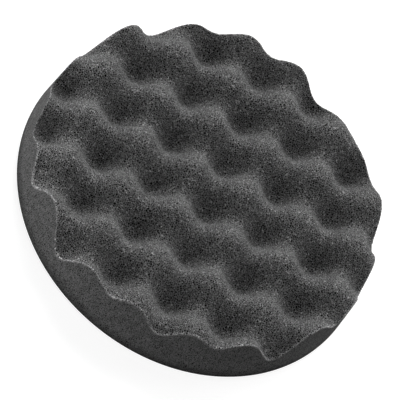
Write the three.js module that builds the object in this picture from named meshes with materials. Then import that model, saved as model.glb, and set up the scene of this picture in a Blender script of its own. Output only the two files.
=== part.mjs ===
// Round polishing pad: a thick open-cell foam disc with a waffle-cut working face,
// and a loop cloth laminated to its flat back by a hot-melt film.
// Millimetres. The pad lies on its loop face: +Z is the disc's axis and points out of
// the waffle, X and Y run along the rows of the waffle, and the origin is the centre
// of the loop face.

import * as THREE from 'three';

// Foam disc
const PAD_RADIUS = 101.6;        // widest place of the wall, half of a nominal 8 in
const FACE_MEAN_ABOVE_BACK = 29.6;
const WALL_TAPER = 0.055;        // how far the wall leans in, per millimetre of height
const BACK_CORNER_WIDTH = 4.9;
const BACK_CORNER_HEIGHT = 5.1;

// Waffle of the working face
const WAFFLE_PITCH = 32.4;       // from one peak to the next, along X and along Y
const WAFFLE_AMPLITUDE = 9.75;   // half of the height from a pit to a peak
const WAFFLE_LEAN = 0.057;       // how far a row slips along X, per millimetre of Y
const PEAK_X = -12.2;            // the peak nearest to the centre
const PEAK_Y = 3.5;
const SADDLE_SHARE = -0.09;      // lowers the peaks and pits, lifts the saddles
const ROUNDING_SHARE = -0.04;    // flattens the peaks and deepens the pits
const DIAGONAL_SHARE = -0.032;   // every other diagonal row stands a little higher
const CROSS_SHARE = 0.043;       // and so does every other row across those

// Laminated back
const LOOP_RADIUS = 92;
const PILE_DEPTH = 1.5;
const CLOTH_THICKNESS = 0.5;
const FILM_THICKNESS = 0.2;

// How finely the curved surfaces are cut into facets
const SECTORS = 120;
const FACE_RINGS = 22;
const WALL_RINGS = 4;
const CORNER_RINGS = 3;
const RIM_SEARCH_STEPS = 12;
const HAIRLINE = 0.001;          // heights nearer to each other than this are the same

const CLOTH_BASE = PILE_DEPTH;
const FILM_BASE = CLOTH_BASE + CLOTH_THICKNESS;
const FOAM_BASE = FILM_BASE + FILM_THICKNESS;
const WALL_BASE = FOAM_BASE + BACK_CORNER_HEIGHT;
const FACE_MEAN = FOAM_BASE + FACE_MEAN_ABOVE_BACK;
const FULL_TURN = 2 * Math.PI;

const foamMaterial = new THREE.MeshStandardMaterial({ color: 0x454545, roughness: 0.95, metalness: 0 });
const filmMaterial = new THREE.MeshStandardMaterial({ color: 0xb9b3a4, roughness: 0.35, metalness: 0 });
const clothMaterial = new THREE.MeshStandardMaterial({ color: 0x242527, roughness: 0.85, metalness: 0 });
const pileMaterial = new THREE.MeshStandardMaterial({ color: 0x2c2d30, roughness: 0.9, metalness: 0 });

// Height of the working face over the point (x, y).
function faceHeight(x, y) {
  const u = FULL_TURN * (x - WAFFLE_LEAN * y - PEAK_X) / WAFFLE_PITCH;
  const v = FULL_TURN * (y - PEAK_Y) / WAFFLE_PITCH;
  const waves = (Math.cos(u) + Math.cos(v)) / 2;
  const saddles = SADDLE_SHARE * Math.cos(u) * Math.cos(v);
  const rounding = ROUNDING_SHARE * (Math.cos(2 * u) + Math.cos(2 * v)) / 2;
  const diagonals = DIAGONAL_SHARE * Math.cos((u + v) / 2) + CROSS_SHARE * Math.sin((u - v) / 2);
  return FACE_MEAN + WAFFLE_AMPLITUDE * (waves + saddles + rounding + diagonals);
}

// Radius of the wall at height z, above the rounded back corner.
function wallRadius(z) {
  return PAD_RADIUS - WALL_TAPER * (z - WALL_BASE);
}

// Where the wall meets the face at an angle: the radius that both share there.
function rimRadius(angle) {
  let radius = PAD_RADIUS;
  for (let step = 0; step < RIM_SEARCH_STEPS; step += 1) {
    radius = wallRadius(faceHeight(radius * Math.cos(angle), radius * Math.sin(angle)));
  }
  return radius;
}

// The plain section of the disc, from the middle of the back, round the corner, up the
// wall and over the face to the middle again.
function discSection() {
  const section = [new THREE.Vector2(0, FOAM_BASE)];
  for (let ring = 0; ring < CORNER_RINGS; ring += 1) {
    const turn = (Math.PI / 2) * (ring / CORNER_RINGS);
    const radius = PAD_RADIUS - BACK_CORNER_WIDTH * (1 - Math.sin(turn));
    section.push(new THREE.Vector2(radius, WALL_BASE - BACK_CORNER_HEIGHT * Math.cos(turn)));
  }
  for (let ring = 0; ring < WALL_RINGS; ring += 1) {
    const height = WALL_BASE + (FACE_MEAN - WALL_BASE) * (ring / WALL_RINGS);
    section.push(new THREE.Vector2(PAD_RADIUS, height));
  }
  for (let ring = 0; ring < FACE_RINGS; ring += 1) {
    section.push(new THREE.Vector2(PAD_RADIUS * (1 - ring / FACE_RINGS), FACE_MEAN));
  }
  section.push(new THREE.Vector2(0, FACE_MEAN));
  return section;
}

// The foam disc: the plain disc with its wall tapered and its face pulled to the waffle.
function foamDisc() {
  const geometry = new THREE.LatheGeometry(discSection(), SECTORS).rotateX(Math.PI / 2);
  const points = geometry.attributes.position;
  for (let i = 0; i < points.count; i += 1) {
    const z = points.getZ(i);
    if (z > WALL_BASE) {
      const angle = Math.atan2(points.getY(i), points.getX(i));
      const rim = rimRadius(angle);
      const rimHeight = faceHeight(rim * Math.cos(angle), rim * Math.sin(angle));
      const onFace = z > FACE_MEAN - HAIRLINE;
      const share = Math.hypot(points.getX(i), points.getY(i)) / PAD_RADIUS;
      const wallHeight = WALL_BASE + (rimHeight - WALL_BASE) * (z - WALL_BASE) / (FACE_MEAN - WALL_BASE);
      const radius = onFace ? rim * share : wallRadius(wallHeight);
      const x = radius * Math.cos(angle);
      const y = radius * Math.sin(angle);
      points.setXYZ(i, x, y, onFace ? faceHeight(x, y) : wallHeight);
    }
  }
  geometry.computeVertexNormals();
  return geometry;
}

// A flat round layer of the back, its lower face at z = 0.
function backLayer(thickness) {
  const section = [
    new THREE.Vector2(0, 0),
    new THREE.Vector2(LOOP_RADIUS, 0),
    new THREE.Vector2(LOOP_RADIUS, thickness),
    new THREE.Vector2(0, thickness),
  ];
  return new THREE.LatheGeometry(section, SECTORS).rotateX(Math.PI / 2);
}

function piece(name, geometry, material, height) {
  const mesh = new THREE.Mesh(geometry, material);
  mesh.name = name;
  mesh.position.z = height;
  return mesh;
}

const pad = new THREE.Group();
pad.name = 'polishing_pad';
pad.add(piece('waffle_foam_disc', foamDisc(), foamMaterial, 0));

const back = new THREE.Group();
back.name = 'hook_and_loop_back';
back.add(piece('hot_melt_film', backLayer(FILM_THICKNESS), filmMaterial, FILM_BASE));
back.add(piece('loop_backing_cloth', backLayer(CLOTH_THICKNESS), clothMaterial, CLOTH_BASE));
back.add(piece('loop_pile', backLayer(PILE_DEPTH), pileMaterial, 0));
pad.add(back);

export default pad;
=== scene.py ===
"""A round foam polishing pad with a waffle face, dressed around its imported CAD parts.

Metres, in the part's own frame: the pad lies on its loop face at z = 0, the waffle looks
up along +Z, and X and Y run along the waffle's rows. The foam is cut from a slab, so it is
shaped directly; nothing on the pad hangs, drapes or is stuffed.
"""

from __future__ import annotations

import logging
import math
from collections.abc import Callable
from dataclasses import dataclass
from enum import Enum
from functools import partial

import bmesh
import bpy
import numpy as np
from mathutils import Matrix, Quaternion, Vector

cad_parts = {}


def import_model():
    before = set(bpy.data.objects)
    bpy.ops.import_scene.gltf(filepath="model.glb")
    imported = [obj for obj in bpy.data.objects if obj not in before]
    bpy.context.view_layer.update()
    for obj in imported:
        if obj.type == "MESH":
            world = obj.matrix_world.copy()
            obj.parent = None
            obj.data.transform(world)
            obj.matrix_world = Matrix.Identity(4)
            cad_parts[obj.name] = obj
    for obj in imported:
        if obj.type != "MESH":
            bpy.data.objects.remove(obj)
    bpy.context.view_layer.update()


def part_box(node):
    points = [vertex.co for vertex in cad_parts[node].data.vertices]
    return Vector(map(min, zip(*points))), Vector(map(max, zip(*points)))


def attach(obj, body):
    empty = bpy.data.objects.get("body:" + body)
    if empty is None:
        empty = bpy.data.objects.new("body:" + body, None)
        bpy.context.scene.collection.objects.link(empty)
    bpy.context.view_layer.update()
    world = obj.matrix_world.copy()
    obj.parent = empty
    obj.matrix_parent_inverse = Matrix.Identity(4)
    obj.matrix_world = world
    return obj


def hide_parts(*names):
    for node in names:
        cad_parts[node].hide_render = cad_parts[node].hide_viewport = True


LOG = logging.getLogger("polishing_pad")
MM = 0.001
FULL_TURN = 2 * math.pi
FACE_MEAN_ABOVE_BACK = 29.6 * MM
Ring = Callable[[np.ndarray], tuple[np.ndarray, np.ndarray]]
Color = tuple[float, float, float]


class Slot(Enum):
    """The material slots of the part's record."""

    FOAM = "foam"
    FILM = "bond_film"
    CLOTH = "backing_cloth"
    PILE = "loop_pile"


class Node(Enum):
    """The CAD nodes that the pieces stand for."""

    FOAM = "waffle_foam_disc"
    FILM = "hot_melt_film"
    CLOTH = "loop_backing_cloth"
    PILE = "loop_pile"


class Zone(Enum):
    """What is painted on the vertices, for a material or a modifier to read."""

    FACE = "on_face"
    # How near a vertex lies to the cut rim: the rim is brightened there, partly the fray's lighter tone and
    # partly a painted highlight.
    RIM = "at_rim"
    # The wall's foot carries painted shade: darker towards where it meets the back.
    PAINTED_FOOT_SHADE = "near_foot"
    RELIEF = "relief"
    # A tone of its own for each loop, and on the bed between the loops a painted shade.
    STRAND = "strand_tone"


class CellMeasure(Enum):
    """What is measured in a pattern of cells."""

    EDGE = ("DISTANCE_TO_EDGE", "Distance")
    LOT = ("F1", "Color")


# ---------------------------------------------------------------- shared helpers


def deselect_all() -> None:
    """Leaves edit mode and clears the selection, so an operator acts on nothing else."""
    if bpy.context.object is not None and bpy.context.object.mode != "OBJECT":
        bpy.ops.object.mode_set(mode="OBJECT")
    bpy.ops.object.select_all(action="DESELECT")


def make_active(piece: bpy.types.Object) -> None:
    """Selects one piece and makes it the active object.

    Args:
        piece: the object that the next operators act on.
    """
    deselect_all()
    piece.select_set(True)
    bpy.context.view_layer.objects.active = piece


def points_of(piece: bpy.types.Object) -> np.ndarray:
    """Reads a mesh's vertices.

    Args:
        piece: the mesh object.

    Returns:
        An array with one row of x, y, z for each vertex.
    """
    flat = np.empty(len(piece.data.vertices) * 3)
    piece.data.vertices.foreach_get("co", flat)
    return flat.reshape(-1, 3)


def move_points(piece: bpy.types.Object, points: np.ndarray) -> None:
    """Writes a mesh's vertices.

    Args:
        piece: the mesh object.
        points: one row of x, y, z for each vertex.
    """
    piece.data.vertices.foreach_set("co", points.ravel())
    piece.data.update()


def add_round_grid(name: str, cells: int) -> bpy.types.Object:
    """Adds a grid and pulls its square out to a disc of radius 1, with even cells.

    Args:
        name: the piece's name.
        cells: squares along each side of the grid.

    Returns:
        The new piece, lying at z = 0 with its upper side outwards.
    """
    deselect_all()
    bpy.ops.mesh.primitive_grid_add(x_subdivisions=cells, y_subdivisions=cells, size=2)
    piece = bpy.context.object
    piece.name = piece.data.name = name
    square = points_of(piece)
    across, along = square[:, 0], square[:, 1]
    wide = np.abs(across) > np.abs(along)
    reach = np.where(wide, across, along)
    safe = np.where(reach == 0, 1, reach)
    turn = np.where(wide, np.pi / 4 * along / safe, np.pi / 2 - np.pi / 4 * across / safe)
    move_points(piece, np.stack([reach * np.cos(turn), reach * np.sin(turn), square[:, 2]], axis=1))
    return piece


def draw_on_edge(piece: bpy.types.Object, rings: list[Ring]) -> None:
    """Extrudes a sheet's open edge ring by ring and closes the last ring with one face.

    Args:
        piece: the sheet, which becomes a closed body.
        rings: each turns angles into the radii and heights of its ring.
    """
    make_active(piece)
    bpy.ops.object.mode_set(mode="EDIT")
    bpy.ops.mesh.select_mode(type="EDGE")
    bpy.ops.mesh.select_all(action="DESELECT")
    bpy.ops.mesh.select_non_manifold(extend=False)
    for ring in rings:
        before = len(bmesh.from_edit_mesh(piece.data).verts)
        bpy.ops.mesh.extrude_region_move()
        edit = bmesh.from_edit_mesh(piece.data)
        edit.verts.ensure_lookup_table()
        new = edit.verts[before:]
        angle = np.array([math.atan2(point.co.y, point.co.x) for point in new])
        radius, height = ring(angle)
        for point, x, y, z in zip(new, radius * np.cos(angle), radius * np.sin(angle), height):
            point.co = x, y, z
        bmesh.update_edit_mesh(piece.data)
    bpy.ops.mesh.edge_face_add()
    bpy.ops.mesh.select_all(action="SELECT")
    bpy.ops.mesh.normals_make_consistent(inside=False)
    bpy.ops.object.mode_set(mode="OBJECT")
    bpy.ops.object.shade_smooth()


def paint(piece: bpy.types.Object, zone: Zone, values: np.ndarray) -> None:
    """Stores one number for each vertex, for a material to read.

    Args:
        piece: the mesh object.
        zone: what the numbers are.
        values: one number for each vertex.
    """
    attribute = piece.data.attributes.new(zone.value, "FLOAT", "POINT")
    attribute.data.foreach_set("value", values.astype(np.float32))


def roughen(piece: bpy.types.Object, grain: float, depth: float, shares: np.ndarray) -> None:
    """Presses a pattern of small pits into a piece's surface.

    Args:
        piece: the mesh object.
        grain: the size of a pit, in metres.
        depth: how deep the pits are, in metres.
        shares: for each vertex, how much of the depth it gets, in even levels.
    """
    levels = 10
    group = piece.vertex_groups.new(name=Zone.RELIEF.value)
    nearest = np.rint(np.clip(shares, 0, 1) * levels).astype(int)
    for level in range(1, levels + 1):
        group.add(np.flatnonzero(nearest == level).tolist(), level / levels, "REPLACE")
    pattern = bpy.data.textures.new(f"{piece.name}_pits", "VORONOI")
    pattern.noise_scale = grain
    make_active(piece)
    bpy.ops.object.modifier_add(type="DISPLACE")
    press = piece.modifiers[-1]
    press.texture = pattern
    press.texture_coords = "LOCAL"
    press.vertex_group = group.name
    press.strength = depth
    bpy.ops.object.modifier_apply(modifier=press.name)
    piece.vertex_groups.clear()


# ---------------------------------------------------------------- node materials


class Shader:
    """A node tree under construction: each call adds one node and returns its output."""

    def __init__(self, name: str) -> None:
        """Starts a material with a principled shader.

        Args:
            name: the material's name.
        """
        self.material = bpy.data.materials.new(name)
        self.material.use_nodes = True
        self.tree = self.material.node_tree
        self.surface = self.tree.nodes["Principled BSDF"]
        coordinates = self.tree.nodes.new("ShaderNodeTexCoord")
        self.place = coordinates.outputs["Object"]

    def node(self, kind: str, inputs: dict | None = None, **settings: object) -> bpy.types.Node:
        """Adds a node.

        Args:
            kind: the node's type name.
            inputs: values or outputs for its input sockets, by name or number.
            settings: the node's own properties.

        Returns:
            The new node.
        """
        made = self.tree.nodes.new(kind)
        for key, value in settings.items():
            setattr(made, key, value)
        for key, value in (inputs or {}).items():
            if isinstance(value, bpy.types.NodeSocket):
                self.tree.links.new(value, made.inputs[key])
            else:
                made.inputs[key].default_value = value
        return made

    def math(self, operation: str, *values: object) -> bpy.types.NodeSocket:
        """Adds a Math node and returns its result."""
        inputs = dict(enumerate(values))
        return self.node("ShaderNodeMath", inputs, operation=operation).outputs[0]

    def ramp(self, value: bpy.types.NodeSocket, low: float, high: float,
             to_low: float = 0.0, to_high: float = 1.0) -> bpy.types.NodeSocket:
        """Maps a value from one span to another, smoothly and clamped.

        Args:
            value: the output that is mapped.
            low: where the span starts.
            high: where it ends.
            to_low: what low becomes.
            to_high: what high becomes.

        Returns:
            The mapped output.
        """
        inputs = {"Value": value, "From Min": low, "From Max": high, "To Min": to_low, "To Max": to_high}
        return self.node("ShaderNodeMapRange", inputs, interpolation_type="SMOOTHSTEP").outputs[0]

    def noise(self, grain: float, detail: float = 2.0, roughness: float = 0.5) -> bpy.types.NodeSocket:
        """Adds soft noise.

        Args:
            grain: the size of its largest patches, in metres.
            detail: how many finer layers it has.
            roughness: how strong the finer layers are.

        Returns:
            The noise, from 0 to 1.
        """
        inputs = {"Vector": self.place, "Scale": 1 / grain, "Detail": detail, "Roughness": roughness}
        return self.node("ShaderNodeTexNoise", inputs).outputs["Fac"]

    def cells(self, grain: float, measure: CellMeasure) -> bpy.types.NodeSocket:
        """Adds a pattern of cells.

        Args:
            grain: the size of a cell, in metres.
            measure: what is measured in a cell.

        Returns:
            The distance to the cell's edge, in cells, or a number drawn by lot for the cell.
        """
        feature, output = measure.value
        inputs = {"Vector": self.place, "Scale": 1 / grain}
        return self.node("ShaderNodeTexVoronoi", inputs, feature=feature).outputs[output]

    def ribs(self, pitch: float, direction: str, wobble: float = 0.6) -> bpy.types.NodeSocket:
        """Adds parallel ribs.

        Args:
            pitch: the distance between ribs, in metres.
            direction: the axis that the ribs follow each other along, X or Y.
            wobble: how far the ribs stray from straight.

        Returns:
            The ribs, 0 in the grooves and 1 on the crowns.
        """
        radians_per_unit = 20
        inputs = {"Vector": self.place, "Scale": FULL_TURN / (radians_per_unit * pitch), "Distortion": wobble}
        return self.node("ShaderNodeTexWave", inputs, bands_direction=direction).outputs["Fac"]

    def attribute(self, zone: Zone) -> bpy.types.NodeSocket:
        """Reads a number painted on the vertices."""
        return self.node("ShaderNodeAttribute", attribute_name=zone.value).outputs["Fac"]

    def blend(self, share: object, first: object, second: object) -> bpy.types.NodeSocket:
        """Mixes two numbers.

        Args:
            share: 0 for the first, 1 for the second.
            first: the first value.
            second: the second value.

        Returns:
            The mixture.
        """
        return self.node("ShaderNodeMix", {0: share, 2: first, 3: second}, data_type="FLOAT").outputs[0]

    def shade(self, tone: bpy.types.NodeSocket, color: Color) -> bpy.types.NodeSocket:
        """Multiplies a colour by a number.

        Args:
            tone: how bright it is.
            color: linear red, green and blue.

        Returns:
            The colour output.
        """
        inputs = {0: color, "Scale": tone}
        return self.node("ShaderNodeVectorMath", inputs, operation="SCALE").outputs[0]

    def bump(self, height: bpy.types.NodeSocket, depth: float, strength: float = 1.0) -> None:
        """Roughens the surface.

        Args:
            height: the pattern, from 0 to 1.
            depth: its depth in metres.
            strength: how much of it shows.
        """
        inputs = {"Height": height, "Distance": depth, "Strength": strength}
        normal = self.node("ShaderNodeBump", inputs).outputs[0]
        self.tree.links.new(normal, self.surface.inputs["Normal"])

    def set(self, name: str, value: object) -> None:
        """Sets or links one of the surface shader's inputs."""
        if isinstance(value, bpy.types.NodeSocket):
            self.tree.links.new(value, self.surface.inputs[name])
        else:
            self.surface.inputs[name].default_value = value


@dataclass(frozen=True)
class Mottle:
    """Soft patches of lighter and darker tone.

    Attributes:
        grain: size of the largest patches, in metres.
        low: how bright the darkest patch is.
        high: how bright the lightest patch is.
        detail: how many finer layers the patches have.
        roughness: how strong the finer layers are.
        span: the values of the noise that become low and high.
    """

    grain: float
    low: float
    high: float
    detail: float = 2.0
    roughness: float = 0.5
    span: tuple[float, float] = (0.3, 0.7)

    def noise(self, shader: Shader) -> bpy.types.NodeSocket:
        """Draws the bare noise, from 0 to 1."""
        return shader.noise(self.grain, self.detail, self.roughness)

    def tone(self, shader: Shader) -> bpy.types.NodeSocket:
        """Draws the patches as a tone from low to high."""
        return shader.ramp(self.noise(shader), *self.span, self.low, self.high)


@dataclass(frozen=True)
class CutFoam:
    """How open-cell foam looks where it is cut one way, its pores darkened with painted shade.

    Attributes:
        cell: width of a cell, in metres.
        strut: how far a cell's bright wall reaches in, as a share of the cell.
        strut_tone: how bright the cell walls are.
        deep_pore_shade: how bright the darkest pore is, under the painted shade of a deep pore.
        shallow_pore_shade: how bright the lightest pore is, under the painted shade of a shallow pore.
        lots: the lots that make a pore the darkest and the lightest.
    """

    cell: float
    strut: float
    strut_tone: float
    deep_pore_shade: float
    shallow_pore_shade: float
    lots: tuple[float, float] = (0.1, 0.9)

    def struts(self, shader: Shader) -> bpy.types.NodeSocket:
        """Draws the cell walls: 1 on their crowns and 0 in the pores."""
        return shader.ramp(shader.cells(self.cell, CellMeasure.EDGE), 0.0, self.strut, 1.0, 0.0)

    def tone(self, shader: Shader, struts: bpy.types.NodeSocket) -> bpy.types.NodeSocket:
        """Gives each pore a painted shade of its own, as if of its own depth, and lays the bright cell walls
        over them.

        Args:
            shader: the material that is built.
            struts: the cell walls.

        Returns:
            How bright the surface is.
        """
        lot = shader.cells(self.cell, CellMeasure.LOT)
        # Painted shade: each pore is darkened by lot, as if shaded by its own depth.
        pore_shade = shader.ramp(lot, *self.lots, self.deep_pore_shade, self.shallow_pore_shade)
        return shader.blend(struts, pore_shade, self.strut_tone)


@dataclass(frozen=True)
class FoamFinish:
    """Open-cell foam: coarse torn cells on the waffle, finer and duller ones on the wall.

    Attributes:
        color: linear colour of the foam.
        waffle: how the convoluted face is cut.
        wall: how the die leaves the wall and the back.
        specks: the torn cell walls that stand up and catch the light.
        patches: small uneven patches.
        clouds: wide uneven patches.
        rim_patches: where the rim's lighter fray and painted highlight are stronger and where weaker.
        rim_fray_and_highlight_tone: how much brighter the frayed rim is, partly its lighter fray and partly a
            painted highlight.
        foot_shade_tone: how dark the painted shade is at the wall's foot, where it meets the back.
        pore_roughness: how matt the pores are.
        strut_roughness: how matt the cell walls are.
        specular: how much the foam shines.
        sheen: how bright its fuzz is when seen edge on.
        sheen_roughness: how wide that brightness spreads.
        pore_depth: how deep the pores look, in metres.
        wall_relief: how much of that depth the wall's pores have.
        relief_strength: how much of the depth shows.
    """

    color: Color = (0.0475, 0.0475, 0.0475)
    waffle: CutFoam = CutFoam(1.1 * MM, 0.16, 4.4, 0.02, 1.3)
    wall: CutFoam = CutFoam(1.0 * MM, 0.2, 2.6, 0.2, 1.3)
    specks: Mottle = Mottle(0.8 * MM, 1.0, 2.5, detail=1.0, span=(0.56, 0.7))
    patches: Mottle = Mottle(2.6 * MM, 0.9, 1.1)
    clouds: Mottle = Mottle(14 * MM, 0.95, 1.05)
    rim_patches: Mottle = Mottle(2.4 * MM, 0.5, 1.0, span=(0.35, 0.6))
    rim_fray_and_highlight_tone: float = 2.9
    foot_shade_tone: float = 0.08
    pore_roughness: float = 0.95
    strut_roughness: float = 0.75
    specular: float = 0.07
    sheen: float = 0.02
    sheen_roughness: float = 0.5
    pore_depth: float = 0.8 * MM
    wall_relief: float = 0.35
    relief_strength: float = 0.6

    def build(self) -> bpy.types.Material:
        """Makes the material.

        Returns:
            The foam material.
        """
        shader = Shader("foam")
        on_face = shader.attribute(Zone.FACE)
        waffle_struts = self.waffle.struts(shader)
        wall_struts = self.wall.struts(shader)
        struts = shader.blend(on_face, wall_struts, waffle_struts)
        waffle_tone = self.waffle.tone(shader, waffle_struts)
        waffle_tone = shader.math("MULTIPLY", waffle_tone, self.specks.tone(shader))
        tone = shader.blend(on_face, self.wall.tone(shader, wall_struts), waffle_tone)
        uneven = (self.patches.tone(shader), self.clouds.tone(shader))
        # The tone is scaled by the painted shade at the wall's foot, by random patches, and by the rim's
        # lighter fray with its painted highlight.
        for share in (self._painted_foot_shade(shader), *uneven, self._rim_fray_and_highlight(shader)):
            tone = shader.math("MULTIPLY", tone, share)
        shader.set("Base Color", shader.shade(tone, self.color))
        shader.set("Roughness", shader.ramp(struts, 0.0, 1.0, self.pore_roughness, self.strut_roughness))
        shader.set("Specular IOR Level", self.specular)
        shader.set("Sheen Weight", self.sheen)
        shader.set("Sheen Roughness", self.sheen_roughness)
        relief = shader.math("MULTIPLY", struts, shader.ramp(on_face, 0.0, 1.0, self.wall_relief, 1.0))
        shader.bump(relief, self.pore_depth, self.relief_strength)
        return shader.material

    def _painted_foot_shade(self, shader: Shader) -> bpy.types.NodeSocket:
        """Darkens the wall towards its foot with painted shade."""
        return shader.blend(shader.attribute(Zone.PAINTED_FOOT_SHADE), 1.0, self.foot_shade_tone)

    def _rim_fray_and_highlight(self, shader: Shader) -> bpy.types.NodeSocket:
        """Brightens the frayed rim, more in some places than in others: partly the fray's lighter tone,
        partly a painted highlight.
        """
        fray_and_highlight = shader.math("MULTIPLY", shader.attribute(Zone.RIM), self.rim_patches.tone(shader))
        return shader.ramp(fray_and_highlight, 0.0, 1.0, 1.0, self.rim_fray_and_highlight_tone)


@dataclass(frozen=True)
class FilmFinish:
    """Hot-melt film: cloudy, yellowed and a little glossy where it was squeezed out.

    Attributes:
        color: linear colour of the film.
        clouds: its cloudy patches.
        gloss_span: the values of the clouds' noise where the film is glossiest and dullest.
        gloss_roughness: how rough it is there.
        coat: how strong its clear skin is.
        ripple: size of its ripples, in metres.
        ripple_detail: how many finer layers they have.
        ripple_depth: how deep they look.
    """

    color: Color = (0.3, 0.28, 0.24)
    clouds: Mottle = Mottle(5 * MM, 0.7, 1.15, 4.0, 0.6, (0.25, 0.75))
    gloss_span: tuple[float, float] = (0.3, 0.7)
    gloss_roughness: tuple[float, float] = (0.3, 0.55)
    coat: float = 0.2
    ripple: float = 1.6 * MM
    ripple_detail: float = 3.0
    ripple_depth: float = 0.08 * MM

    def build(self) -> bpy.types.Material:
        """Makes the material.

        Returns:
            The film material.
        """
        shader = Shader("film")
        shader.set("Base Color", shader.shade(self.clouds.tone(shader), self.color))
        gloss = shader.ramp(self.clouds.noise(shader), *self.gloss_span, *self.gloss_roughness)
        shader.set("Roughness", gloss)
        shader.set("Coat Weight", self.coat)
        shader.bump(shader.noise(self.ripple, self.ripple_detail), self.ripple_depth)
        return shader.material


@dataclass(frozen=True)
class KnitFinish:
    """Tight warp-knit nylon: fine upright ribs crossed by the courses of the knit.

    Attributes:
        color: linear colour of the yarn.
        wale: distance between ribs, in metres.
        course: distance between courses, in metres.
        course_share: how much of the pattern the courses make.
        yarn: how uneven the yarn is.
        tones: how bright the grooves and the crowns are; the darker grooves are painted shade.
        roughness: how matt the grooves and the crowns are.
        sheen: how bright the yarn's edge is.
        sheen_roughness: how wide that brightness spreads.
        depth: how deep the knit looks, in metres.
    """

    color: Color = (0.02, 0.021, 0.023)
    wale: float = 0.85 * MM
    course: float = 0.6 * MM
    course_share: float = 0.4
    yarn: Mottle = Mottle(0.5 * MM, 0.7, 1.2, detail=3.0)
    tones: tuple[float, float] = (0.4, 1.7)
    roughness: tuple[float, float] = (0.85, 0.55)
    sheen: float = 0.3
    sheen_roughness: float = 0.4
    depth: float = 0.15 * MM

    def build(self) -> bpy.types.Material:
        """Makes the material.

        Returns:
            The knit material.
        """
        shader = Shader("ground_knit")
        knit = shader.blend(self.course_share, shader.ribs(self.wale, "X"), shader.ribs(self.course, "Y"))
        yarn = shader.math("MULTIPLY", knit, self.yarn.tone(shader))
        # Painted shade: the knit's grooves are darker than its crowns.
        shader.set("Base Color", shader.shade(shader.ramp(yarn, 0.0, 1.0, *self.tones), self.color))
        shader.set("Roughness", shader.ramp(yarn, 0.0, 1.0, *self.roughness))
        shader.set("Sheen Weight", self.sheen)
        shader.set("Sheen Roughness", self.sheen_roughness)
        shader.bump(knit, self.depth)
        return shader.material


@dataclass(frozen=True)
class PileFinish:
    """Brushed nylon loops with a soft sheen, each strand a little different.

    Attributes:
        color: linear colour of the yarn.
        fuzz: the fine filaments.
        brushed: the wide patches that brushing leaves.
        fuzz_roughness: how matt the dark and the bright filaments are.
        sheen: how bright the yarn's edge is.
        sheen_roughness: how wide that brightness spreads.
        fuzz_depth: how deep the filaments look, in metres.
        fuzz_strength: how much of that depth shows.
    """

    color: Color = (0.03, 0.031, 0.034)
    fuzz: Mottle = Mottle(0.35 * MM, 0.6, 1.5, 4.0, 0.7)
    brushed: Mottle = Mottle(9 * MM, 0.85, 1.2)
    fuzz_roughness: tuple[float, float] = (0.8, 0.6)
    sheen: float = 0.15
    sheen_roughness: float = 0.35
    fuzz_depth: float = 0.25 * MM
    fuzz_strength: float = 0.8

    def build(self) -> bpy.types.Material:
        """Makes the material.

        Returns:
            The pile material.
        """
        shader = Shader("loop_pile")
        # Each loop's own tone; on the bed between the loops this tone is painted shade.
        tone = shader.math("MULTIPLY", shader.attribute(Zone.STRAND), self.fuzz.tone(shader))
        tone = shader.math("MULTIPLY", tone, self.brushed.tone(shader))
        shader.set("Base Color", shader.shade(tone, self.color))
        fuzz = self.fuzz.noise(shader)
        shader.set("Roughness", shader.ramp(fuzz, *self.fuzz.span, *self.fuzz_roughness))
        shader.set("Sheen Weight", self.sheen)
        shader.set("Sheen Roughness", self.sheen_roughness)
        shader.bump(fuzz, self.fuzz_depth, self.fuzz_strength)
        return shader.material


# ---------------------------------------------------------------- the foam disc


@dataclass(frozen=True)
class Waffle:
    """The waves of the working face.

    Attributes:
        mean: height of the middle of the waves, in metres.
        pitch: distance between peaks along X and along Y.
        amplitude: half of the height from a pit to a peak.
        lean: how far a row slips along X for each metre of Y.
        peak: the peak nearest to the centre.
        saddles: lowers the peaks and pits and lifts the saddles.
        rounding: flattens the peaks and deepens the pits.
        diagonal: how every other diagonal row stands out.
        cross: how every other row across those stands out.
    """

    mean: float
    pitch: float = 32.4 * MM
    amplitude: float = 9.75 * MM
    lean: float = 0.057
    peak: tuple[float, float] = (-12.2 * MM, 3.5 * MM)
    saddles: float = -0.09
    rounding: float = -0.04
    diagonal: float = -0.032
    cross: float = 0.043

    def height(self, x: np.ndarray, y: np.ndarray) -> np.ndarray:
        """Gives the height of the face.

        Args:
            x: places along X.
            y: places along Y.

        Returns:
            The heights there.
        """
        u = FULL_TURN * (x - self.lean * y - self.peak[0]) / self.pitch
        v = FULL_TURN * (y - self.peak[1]) / self.pitch
        waves = (np.cos(u) + np.cos(v)) / 2 + self.saddles * np.cos(u) * np.cos(v)
        waves += self.rounding * (np.cos(2 * u) + np.cos(2 * v)) / 2
        waves += self.diagonal * np.cos((u + v) / 2) + self.cross * np.sin((u - v) / 2)
        return self.mean + self.amplitude * waves


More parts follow.
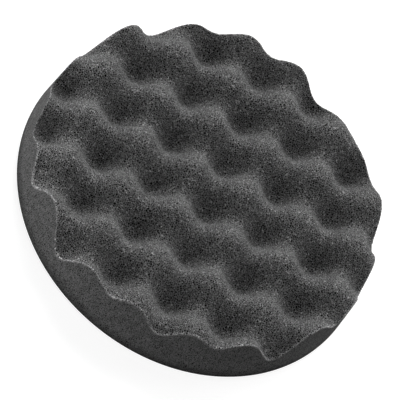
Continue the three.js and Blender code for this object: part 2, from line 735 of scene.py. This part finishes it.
@dataclass
class FoamDisc:
    """The foam body: a die-cut disc with a waffle face, a tapered wall and a soft back corner.

    Attributes:
        radius: the widest place of the wall.
        base: height of its flat back.
        waffle: its working face.
        taper: how far the wall leans in for each metre of height.
        corner_width: how far the back corner reaches in.
        corner_height: how far it reaches up.
        foot: how far up the wall the painted shade at its foot reaches.
        foot_shade_full: how far up the painted shade at the foot is fully dark.
        foot_shade_fade: how quickly the painted shade at the foot fades upwards.
        rim_round: how far the softened rim reaches from the cut edge.
        rim_fray_and_highlight_reach: how far the frayed rim's lighter tone and painted highlight reach from
            the cut edge.
        face_slack: how near to the waffle's height a point of the face lies.
        pit: size of the torn pits of the surface.
        pit_depth: how deep they are on the face.
        wall_pits: how much of that depth they have on the wall.
        face_cells: squares along each side of the face's grid.
        wall_rings: rings of faces down the wall.
        rim_rings: rings over the rim.
        corner_rings: rings round the back corner.
        search_steps: how often the cut edge is narrowed down.
    """

    radius: float
    base: float
    waffle: Waffle
    taper: float = 0.055
    corner_width: float = 4.9 * MM
    corner_height: float = 5.1 * MM
    foot: float = 12 * MM
    foot_shade_full: float = 2.4 * MM
    foot_shade_fade: float = 1.3
    rim_round: float = 0.7 * MM
    rim_fray_and_highlight_reach: float = 1.68 * MM
    face_slack: float = 0.21 * MM
    pit: float = 1.7 * MM
    pit_depth: float = 0.5 * MM
    wall_pits: float = 0.3
    face_cells: int = 360
    wall_rings: int = 36
    rim_rings: int = 4
    corner_rings: int = 8
    search_steps: int = 12

    def wall_radius(self, z: np.ndarray) -> np.ndarray:
        """Gives the wall's radius at heights above the back corner."""
        return self.radius - self.taper * (z - self.base - self.corner_height)

    def cut_edge(self, angle: np.ndarray) -> tuple[np.ndarray, np.ndarray]:
        """Finds where the wall cuts the waffle.

        Args:
            angle: directions from the centre.

        Returns:
            The radius and the height of the edge there.
        """
        radius = np.full_like(angle, self.radius)
        for _ in range(self.search_steps):
            height = self.waffle.height(radius * np.cos(angle), radius * np.sin(angle))
            radius = self.wall_radius(height)
        return radius, height

    def build(self, foam: bpy.types.Material) -> bpy.types.Object:
        """Models the disc.

        Args:
            foam: its material.

        Returns:
            The finished piece.
        """
        piece = add_round_grid("foam_disc", self.face_cells)
        self._lay_face(piece)
        draw_on_edge(piece, self._rings())
        on_face = self._paint_zones(piece)
        foot = self.base + self.corner_height
        above_foot = np.clip((points_of(piece)[:, 2] - foot) / self.corner_height, 0, 1)
        shares = np.where(on_face, 1, self.wall_pits * above_foot)
        roughen(piece, self.pit, self.pit_depth, shares)
        piece.data.materials.append(foam)
        return piece

    def _lay_face(self, piece: bpy.types.Object) -> None:
        """Widens the round grid to the rim and lifts it to the waffle."""
        points = points_of(piece)
        angle = np.arctan2(points[:, 1], points[:, 0])
        edge, _ = self.cut_edge(angle)
        x = points[:, 0] * (edge - self.rim_round)
        y = points[:, 1] * (edge - self.rim_round)
        move_points(piece, np.stack([x, y, self.waffle.height(x, y)], axis=1))

    def _rings(self) -> list[Ring]:
        """Lists how the open edge is drawn on: over the rim, down the wall and under the back.

        Returns:
            Functions that turn angles into the radii and heights of one ring.
        """
        rims = [partial(self._rim_ring, k / self.rim_rings) for k in range(1, self.rim_rings + 1)]
        walls = [partial(self._wall_ring, k / self.wall_rings) for k in range(1, self.wall_rings + 1)]
        corners = [partial(self._corner_ring, k / self.corner_rings) for k in range(1, self.corner_rings + 1)]
        return rims + walls + corners

    def _rim_ring(self, share: float, angle: np.ndarray) -> tuple[np.ndarray, np.ndarray]:
        """Gives a ring on the softened rim, from the face at share 0 to the wall at share 1."""
        edge, top = self.cut_edge(angle)
        inner = edge - self.rim_round
        inner_top = self.waffle.height(inner * np.cos(angle), inner * np.sin(angle))
        low = top - self.rim_round
        from_face, from_edge, from_wall = (1 - share) ** 2, 2 * share * (1 - share), share ** 2
        radius = from_face * inner + from_edge * edge + from_wall * self.wall_radius(low)
        return radius, from_face * inner_top + from_edge * top + from_wall * low

    def _wall_ring(self, share: float, angle: np.ndarray) -> tuple[np.ndarray, np.ndarray]:
        """Gives a ring on the wall, from under the rim at share 0 to its foot at share 1."""
        _, top = self.cut_edge(angle)
        start = top - self.rim_round
        height = start + (self.base + self.corner_height - start) * share
        return self.wall_radius(height), height

    def _corner_ring(self, share: float, angle: np.ndarray) -> tuple[np.ndarray, np.ndarray]:
        """Gives a ring on the rounded back corner, from the wall's foot to the flat back."""
        turn = share * math.pi / 2
        radius = self.radius - self.corner_width * (1 - math.cos(turn))
        height = self.base + self.corner_height * (1 - math.sin(turn))
        return np.full_like(angle, radius), np.full_like(angle, height)

    def _paint_zones(self, piece: bpy.types.Object) -> np.ndarray:
        """Paints which vertices lie on the waffle, how near they lie to the cut rim for its lighter fray and
        painted highlight, and the painted shade near the wall's foot.

        Args:
            piece: the closed disc, before its pits.

        Returns:
            For each vertex, whether it lies on the waffle.
        """
        points = points_of(piece)
        angle = np.arctan2(points[:, 1], points[:, 0])
        radius = np.hypot(points[:, 0], points[:, 1])
        edge, top = self.cut_edge(angle)
        surface = self.waffle.height(points[:, 0], points[:, 1])
        on_face = (np.abs(points[:, 2] - surface) < self.face_slack) & (radius < edge)
        apart = np.hypot(radius - edge, points[:, 2] - top)
        paint(piece, Zone.FACE, on_face)
        # The rim's lighter fray and painted highlight, fading away from the cut edge.
        paint(piece, Zone.RIM, np.clip(1 - apart / self.rim_fray_and_highlight_reach, 0, 1))
        # Painted shade: the wall darkens towards its foot, fully dark at the bottom.
        near_foot = np.clip((self.base + self.foot - points[:, 2]) / (self.foot - self.foot_shade_full), 0, 1)
        paint(piece, Zone.PAINTED_FOOT_SHADE, np.where(on_face, 0, near_foot ** self.foot_shade_fade))
        return on_face


# ---------------------------------------------------------------- the laminated back


@dataclass
class BackLayer:
    """A thin round layer of the back, cut with the others by one die.

    Attributes:
        name: the piece's name.
        radius: its radius.
        low: height of its lower face.
        high: height of its upper face.
        wander: how far its edge strays inside its circle.
        ridges: how many small ridges its edge has.
        ridge_depth: how deep they are.
        strays: how often the edge strays in one turn, and where each stray starts.
        cells: squares along each side of its grid.
        edge_rings: rings of faces round its edge.
    """

    name: str
    radius: float
    low: float
    high: float
    wander: float
    ridges: int = 0
    ridge_depth: float = 0.0
    strays: tuple[tuple[int, float], ...] = ((5, 0.8), (11, 2.1), (23, 0.0))
    cells: int = 120
    edge_rings: int = 6

    def _edge(self, angle: np.ndarray) -> np.ndarray:
        """Gives the layer's uneven radius at each angle."""
        stray = sum(np.sin(count * angle + start) for count, start in self.strays) / len(self.strays)
        ridge = (np.cos(self.ridges * angle) - 1) / 2
        return self.radius + self.wander * (stray - 1) + self.ridge_depth * ridge

    def _ring(self, share: float, angle: np.ndarray) -> tuple[np.ndarray, np.ndarray]:
        """Gives a ring of the rounded edge, from the upper face at 0 to the lower one at 1."""
        half = (self.high - self.low) / 2
        turn = math.pi * (share - 0.5)
        height = (self.high + self.low) / 2 - half * math.sin(turn)
        return self._edge(angle) - half * (1 - math.cos(turn)), np.full_like(angle, height)

    def build(self, material: bpy.types.Material) -> bpy.types.Object:
        """Models the layer.

        Args:
            material: its finish.

        Returns:
            The finished piece.
        """
        piece = add_round_grid(self.name, self.cells)
        points = points_of(piece)
        angle = np.arctan2(points[:, 1], points[:, 0])
        reach = self._edge(angle) - (self.high - self.low) / 2
        points[:, 0] *= reach
        points[:, 1] *= reach
        points[:, 2] = self.high
        move_points(piece, points)
        draw_on_edge(piece, [partial(self._ring, k / self.edge_rings) for k in range(1, self.edge_rings + 1)])
        piece.data.materials.append(material)
        return piece


@dataclass
class LoopPile:
    """The loops that the hooks of a backing plate catch, standing out of the ground cloth.

    Attributes:
        radius: the pile's radius.
        root: height of the bed that the loops stand out of, downwards.
        spacing: distance between loops.
        yarn: radius of a loop's yarn.
        bow: radius of a loop's bow.
        steps: straight lengths in a loop.
        sweep: how far round a loop goes.
        jitter: how far a loop stands out of its row, as a share of the spacing.
        lean: how far a loop leans, either way.
        sizes: the smallest and the largest loop, as shares of the pattern.
        tones: how bright the darkest and the brightest loop are.
        seed: starts the random draws.
    """

    radius: float
    root: float
    spacing: float = 1.95 * MM
    yarn: float = 0.14 * MM
    bow: float = 0.68 * MM
    steps: int = 4
    sweep: float = math.radians(210)
    jitter: float = 0.3
    lean: float = 0.8
    sizes: tuple[float, float] = (0.8, 1.25)
    tones: tuple[float, float] = (1.2, 2.4)
    seed: int = 7

    def _one_loop(self) -> bpy.types.Object:
        """Models one loop: a three-sided strand spun most of the way round.

        Returns:
            The loop, its bow down and its middle at the origin.
        """
        deselect_all()
        bpy.ops.mesh.primitive_circle_add(vertices=3, radius=self.yarn, location=(self.bow, 0, 0))
        loop = bpy.context.object
        bpy.ops.object.transform_apply(location=True)
        bpy.ops.object.mode_set(mode="EDIT")
        bpy.ops.mesh.select_all(action="SELECT")
        bpy.ops.mesh.spin(steps=self.steps, angle=self.sweep, center=(0, 0, 0), axis=(0, -1, 0))
        bpy.ops.mesh.select_all(action="SELECT")
        bpy.ops.mesh.normals_make_consistent(inside=False)
        bpy.ops.object.mode_set(mode="OBJECT")
        return loop

    def _places(self, draw: np.random.Generator) -> np.ndarray:
        """Spreads the loops in staggered rows, each a little out of place.

        Args:
            draw: the random draws.

        Returns:
            One row of x, y for each loop.
        """
        rows = np.arange(-self.radius, self.radius, self.spacing * math.sqrt(3) / 2)
        columns = np.arange(-self.radius, self.radius, self.spacing)
        x, y = np.meshgrid(columns, rows)
        x[1::2] += self.spacing / 2
        places = np.stack([x.ravel(), y.ravel()], axis=1)
        places += draw.uniform(-self.jitter, self.jitter, places.shape) * self.spacing
        return places[np.hypot(places[:, 0], places[:, 1]) < self.radius - 2 * self.bow]

    def _stand(self, shape: np.ndarray, places: np.ndarray, draw: np.random.Generator) -> np.ndarray:
        """Scales, leans and turns a copy of the loop for each place.

        Args:
            shape: the loop's vertices.
            places: where the copies stand.
            draw: the random draws.

        Returns:
            The vertices of all copies, one block for each.
        """
        count = len(places)
        spin = draw.uniform(0, math.pi, count)[:, None]
        lean = draw.uniform(-self.lean, self.lean, count)[:, None]
        scale = draw.uniform(*self.sizes, count)[:, None]
        x, y, z = (shape[:, axis][None, :] * scale for axis in range(3))
        y, z = y * np.cos(lean) - z * np.sin(lean), y * np.sin(lean) + z * np.cos(lean)
        x, y = x * np.cos(spin) - y * np.sin(spin), x * np.sin(spin) + y * np.cos(spin)
        height = np.maximum(z + self.root, z - z.min(axis=1, keepdims=True))
        return np.stack([x + places[:, :1], y + places[:, 1:], height], axis=2)

    def build(self, material: bpy.types.Material) -> bpy.types.Object:
        """Models one loop and copies it all over the back.

        Args:
            material: its finish.

        Returns:
            The finished piece.
        """
        pattern = self._one_loop()
        draw = np.random.default_rng(self.seed)
        places = self._places(draw)
        shape = points_of(pattern)
        faces = np.array([face.vertices[:] for face in pattern.data.polygons])
        points = self._stand(shape, places, draw)
        all_faces = faces[None] + (np.arange(len(places)) * len(shape))[:, None, None]
        mesh = bpy.data.meshes.new("loop_pile_loops")
        mesh.from_pydata(points.reshape(-1, 3).tolist(), [], all_faces.reshape(-1, faces.shape[1]).tolist())
        mesh.polygons.foreach_set("use_smooth", np.ones(len(mesh.polygons), dtype=bool))
        piece = bpy.data.objects.new("loop_pile_loops", mesh)
        bpy.context.scene.collection.objects.link(piece)
        bpy.data.objects.remove(pattern)
        paint(piece, Zone.STRAND, np.repeat(draw.uniform(*self.tones, len(places)), len(shape)))
        mesh.materials.append(material)
        return piece


@dataclass(frozen=True)
class Felt:
    """How the bed between the loops is felted, and darkened with painted shade as the shade between the
    loops.

    Attributes:
        grain: size of its dents.
        depth: how deep they are.
        tones: how bright its darkest and brightest places are, all far darker than the loops as painted
            shade.
        seed: starts the random draws.
    """

    grain: float = 3 * MM
    depth: float = 0.25 * MM
    tones: tuple[float, float] = (0.15, 0.4)
    seed: int = 11

    def brush(self, piece: bpy.types.Object, low: float, high: float) -> None:
        """Makes the bed uneven, and gives each place of it a tone of its own within a painted shade.

        Args:
            piece: the bed.
            low: height of its lower face.
            high: height of its upper face, which stays flat.
        """
        points = points_of(piece)
        # Painted shade: the bed between the loops is painted far darker than the loops, each place a random
        # tone within it.
        paint(piece, Zone.STRAND, np.random.default_rng(self.seed).uniform(*self.tones, len(points)))
        roughen(piece, self.grain, self.depth, (high - points[:, 2]) / (high - low))


# ---------------------------------------------------------------- stage


@dataclass(frozen=True)
class Camera:
    """A long lens over the pad's front left, turned so that the pad leans in the frame.

    Attributes:
        target_height: height of the middle of the waffle.
        pad_radius: the pad's radius, which the other lengths are shares of.
        azimuth: direction of the camera, from -Y towards +X.
        elevation: its height over the floor, as an angle.
        roll: its turn about its own line of sight.
        distance_radii: its distance.
        frame_radii: the width of the frame.
        aim_right: how far it is moved to its right.
        aim_up: how far it is moved up.
        sensor: the sensor's width, in millimetres.
        clip_end: how far it sees, in metres.
    """

    target_height: float
    pad_radius: float
    azimuth: float = math.radians(-16.91)
    elevation: float = math.radians(51.4)
    roll: float = math.radians(39.53)
    distance_radii: float = 28.9
    frame_radii: float = 2.117
    aim_right: float = -0.053
    aim_up: float = -0.07
    sensor: float = 36.0
    clip_end: float = 100.0

    def build(self) -> bpy.types.Object:
        """Places the camera and makes it the scene's own.

        Returns:
            The camera object.
        """
        flat = math.cos(self.elevation)
        side, front = flat * math.sin(self.azimuth), -flat * math.cos(self.azimuth)
        toward = Vector((side, front, math.sin(self.elevation)))
        turn = toward.to_track_quat("Z", "Y") @ Quaternion((0, 0, 1), self.roll)
        shift = turn @ Vector((self.aim_right, self.aim_up, self.distance_radii))
        data = bpy.data.cameras.new("camera")
        data.sensor_width = self.sensor
        data.lens = self.sensor * self.distance_radii / self.frame_radii
        data.clip_end = self.clip_end
        camera = bpy.data.objects.new("camera", data)
        camera.rotation_mode = "QUATERNION"
        camera.rotation_quaternion = turn
        camera.location = Vector((0, 0, self.target_height)) + shift * self.pad_radius
        bpy.context.scene.collection.objects.link(camera)
        bpy.context.scene.camera = camera
        return camera


@dataclass(frozen=True)
class SoftLight:
    """A wide, far softbox.

    Attributes:
        name: the light's name.
        azimuth: its direction, in degrees from +X towards +Y.
        elevation: its height over the floor, in degrees.
        power: its strength, in watts per square metre.
        spread: how wide it looks from the pad, in degrees.
    """

    name: str
    azimuth: float
    elevation: float
    power: float
    spread: float = 50.0

    def build(self) -> bpy.types.Object:
        """Places the light.

        Returns:
            The light object.
        """
        data = bpy.data.lights.new(self.name, "SUN")
        data.energy = self.power
        data.angle = math.radians(self.spread)
        light = bpy.data.objects.new(self.name, data)
        turn, rise = math.radians(self.azimuth), math.radians(self.elevation)
        toward = Vector((math.cos(rise) * math.cos(turn), math.cos(rise) * math.sin(turn), math.sin(rise)))
        light.location = toward
        light.rotation_mode = "QUATERNION"
        light.rotation_quaternion = toward.to_track_quat("Z", "Y")
        bpy.context.scene.collection.objects.link(light)
        return light


@dataclass(frozen=True)
class LightTable:
    """A white table that rises to a white sweep all round and glows, so shadows stay faint.

    Attributes:
        radius: how far the flat table reaches.
        rise: how high the sweep goes.
        albedo: how much light its surface returns.
        glow: how bright it shines by itself.
        sides: straight lengths round it.
    """

    radius: float = 4.0
    rise: float = 6.0
    albedo: float = 0.35
    glow: float = 0.87
    sides: int = 64

    def build(self) -> bpy.types.Object:
        """Lays the table under the pad and draws its edge up.

        Returns:
            The table.
        """
        deselect_all()
        bpy.ops.mesh.primitive_circle_add(vertices=self.sides, radius=self.radius, fill_type="NGON")
        table = bpy.context.object
        table.name = "floor"
        bpy.ops.object.mode_set(mode="EDIT")
        bpy.ops.mesh.select_mode(type="EDGE")
        bpy.ops.mesh.select_all(action="SELECT")
        bpy.ops.mesh.extrude_edges_move(TRANSFORM_OT_translate={"value": (0, 0, self.rise)})
        bpy.ops.object.mode_set(mode="OBJECT")
        shader = Shader("floor")
        shader.set("Base Color", (self.albedo, self.albedo, self.albedo, 1))
        shader.set("Roughness", 1.0)
        shader.set("Specular IOR Level", 0.0)
        shader.set("Emission Color", (1, 1, 1, 1))
        shader.set("Emission Strength", self.glow)
        table.data.materials.append(shader.material)
        table.visible_diffuse = False
        table.visible_glossy = False
        table.visible_shadow = False
        return table


def darken_the_world() -> None:
    """Leaves all the light to the lamps."""
    world = bpy.data.worlds.new("studio")
    world.use_nodes = True
    world.node_tree.nodes["Background"].inputs["Strength"].default_value = 0.0
    bpy.context.scene.world = world


# ---------------------------------------------------------------- putting it together


def join_frame(piece: bpy.types.Object, node: Node | None = None) -> None:
    """Ties a piece to the part's frame.

    Args:
        piece: the finished piece.
        node: the CAD node that it stands for, or None.
    """
    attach(piece, "root")
    if node:
        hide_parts(node.value)
    LOG.info("%s: %d faces", piece.name, len(piece.data.polygons))


@dataclass(frozen=True)
class LoopBack:
    """The laminated back: film, ground cloth and pile, each in the space of its CAD node.

    Attributes:
        film_wander: how far the film's squeezed-out edge strays.
        cloth_wander: how far the cloth's edge strays.
        pile_wander: how far the pile's edge strays.
        ridges: how many small ridges the die leaves round the cloth and the pile.
        cloth_ridge: how deep they are in the cloth.
        pile_ridge: how deep they are in the pile.
        bed_cells: squares along each side of the bed's grid.
        loop_share: how much of the pile's depth the loops stand out of the bed.
    """

    film_wander: float = 0.3 * MM
    cloth_wander: float = 0.1 * MM
    pile_wander: float = 0.4 * MM
    ridges: int = 240
    cloth_ridge: float = 0.25 * MM
    pile_ridge: float = 0.3 * MM
    bed_cells: int = 180
    loop_share: float = 0.62

    def build(self) -> None:
        """Builds the layers from the foam down."""
        film = self._film()
        self._cloth()
        self._pile()

    def _film(self) -> bpy.types.Object:
        """Builds the film, which just shows as a bead round the cloth.

        Returns:
            The film.
        """
        low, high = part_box(Node.FILM.value)
        layer = BackLayer("film_bead", high.x, low.z, high.z, self.film_wander)
        film = layer.build(FilmFinish().build())
        join_frame(film, Node.FILM)
        return film

    def _cloth(self) -> None:
        """Builds the ground cloth, which lies glued flat.
        """
        low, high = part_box(Node.CLOTH.value)
        edge = (self.cloth_wander, self.ridges, self.cloth_ridge)
        cloth = BackLayer("ground_cloth", high.x, low.z, high.z, *edge).build(KnitFinish().build())
        join_frame(cloth, Node.CLOTH)

    def _pile(self) -> None:
        """Builds the pile's felted bed and the loops that stand out of it."""
        low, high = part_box(Node.PILE.value)
        finish = PileFinish().build()
        bed_low = low.z + self.loop_share * (high.z - low.z)
        edge = (self.pile_wander, self.ridges, self.pile_ridge)
        bed = BackLayer("pile_bed", high.x, bed_low, high.z, *edge, cells=self.bed_cells).build(finish)
        Felt().brush(bed, bed_low, high.z)
        join_frame(bed, Node.PILE)
        join_frame(LoopPile(high.x, bed_low).build(finish))


def light_the_pad() -> None:
    """Sets the lights: the main ones behind the pad, softer ones round it and under its edge."""
    lights = (
        SoftLight("key", 92, 40, 3.1),
        SoftLight("key_right", 52, 40, 1.2),
        SoftLight("fill_front", 292, 40, 0.6),
        SoftLight("fill_left", 220, 15, 0.6),
        SoftLight("edge_right", 40, -5, 1.3),
        SoftLight("edge_left", 160, -5, 2.2),
        SoftLight("low_left", 190, -22, 1.7),
        SoftLight("low_front", 288, -25, 0.85),
    )
    for light in lights:
        light.build()


def main() -> None:
    """Builds the pad's pieces in order and sets the stage."""
    logging.basicConfig(level=logging.INFO, format="%(name)s: %(message)s")
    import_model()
    foam_low, foam_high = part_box(Node.FOAM.value)
    mean = foam_low.z + FACE_MEAN_ABOVE_BACK
    Camera(mean, foam_high.x).build()

    foam = FoamDisc(foam_high.x, foam_low.z, Waffle(mean)).build(FoamFinish().build())
    join_frame(foam, Node.FOAM)
    LoopBack().build()

    bpy.context.scene.view_settings.view_transform = "Standard"
    darken_the_world()
    light_the_pad()
    LightTable().build()


if __name__ == "__main__":
    main()
